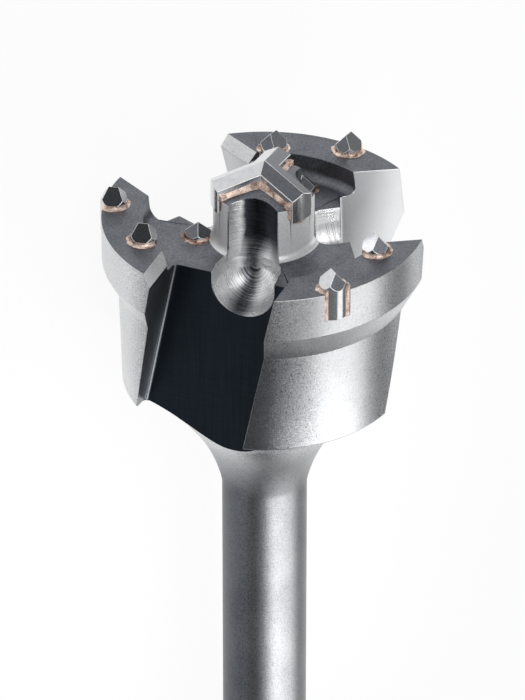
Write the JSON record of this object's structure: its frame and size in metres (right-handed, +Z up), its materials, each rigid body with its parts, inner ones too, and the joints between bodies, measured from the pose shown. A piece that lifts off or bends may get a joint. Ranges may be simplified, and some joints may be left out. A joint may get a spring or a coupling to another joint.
{
  "type": "breakthrough bit for a rotary hammer with a large slotted shank",
  "caption": "Winged breakthrough head with slanted gullets, brazed carbide pins and a Y-shaped centre tip, on a long round bar with a slotted hammer shank.",
  "frame": {"origin": "on the ground under the middle of the tool as it lies", "axes": "+X along the bar towards the tip, raised by the head so that the bar rises about three degrees, +Z up"},
  "size_m": [0.5996, 0.0786, 0.0761],
  "materials": {
    "steel": "satin, with a fine sandy grain on the flanks and dark blasted faces on top",
    "carbide": "ground and hard, semi-bright facets",
    "copper_braze": "rough brazed copper"
  },
  "bodies": {
    "root": {"head_and_shank": "steel", "centre_tip": "carbide", "wing_pin_1": "carbide", "wing_pin_2": "carbide", "wing_pin_3": "carbide", "wing_pin_4": "carbide", "wing_pin_5": "carbide", "wing_pin_6": "carbide", "web_pin_1": "carbide", "web_pin_2": "carbide", "tip_braze_1": "copper_braze", "tip_braze_2": "copper_braze", "tip_braze_3": "copper_braze", "wing_pin_braze_1": "copper_braze", "wing_pin_braze_2": "copper_braze", "wing_pin_braze_3": "copper_braze", "wing_pin_braze_4": "copper_braze", "wing_pin_braze_5": "copper_braze", "wing_pin_braze_6": "copper_braze", "web_pin_braze_1": "copper_braze", "web_pin_braze_2": "copper_braze"}
  },
  "joints": []
}
